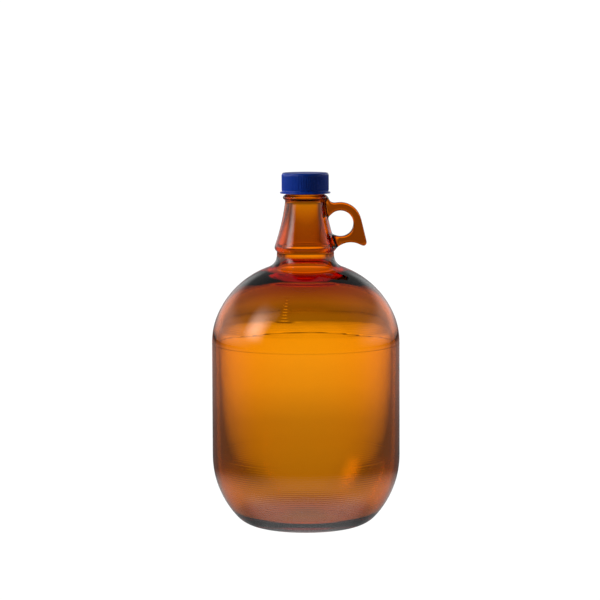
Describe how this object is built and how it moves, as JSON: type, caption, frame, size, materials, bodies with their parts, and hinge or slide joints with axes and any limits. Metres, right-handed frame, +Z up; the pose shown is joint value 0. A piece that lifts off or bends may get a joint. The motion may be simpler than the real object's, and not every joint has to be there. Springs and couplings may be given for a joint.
{
  "type": "growler",
  "caption": "Round-shouldered amber glass jug with a finger ring on its neck and a ribbed blue screw cap, for storing, carrying and fermenting drinks.",
  "frame": {"origin": "centre of the bearing ring that the jug stands on, at the bottom of the jug's box", "axes": "+Z up along the jug's axis, +X towards the handle, +Y completes the right-handed frame"},
  "size_m": [0.168, 0.168, 0.3151],
  "materials": {
    "amber_glass": "clear amber soda-lime glass, fire-polished",
    "blue_cap": "moulded blue polypropylene, satin",
    "white_liner": "white foamed polyethylene"
  },
  "bodies": {
    "jug": {"bottle": "amber_glass"},
    "liner": {"cap_liner": "white_liner"},
    "screw_cap": {"cap": "blue_cap"}
  },
  "joints": [
    {"name": "cap_lift", "type": "slide", "parent": "jug", "child": "liner", "axis": [0, 0, 1], "range_m": [0, 0.0254]},
    {"name": "cap_turn", "type": "hinge", "parent": "liner", "child": "screw_cap", "pos_m": [0, 0, 0.297], "axis": [0, 0, 1], "range_deg": [0, 2160]}
  ],
  "couplings": [
    {"joint": "cap_lift", "follows": "cap_turn", "m_per_rad": 0.00067375}
  ]
}
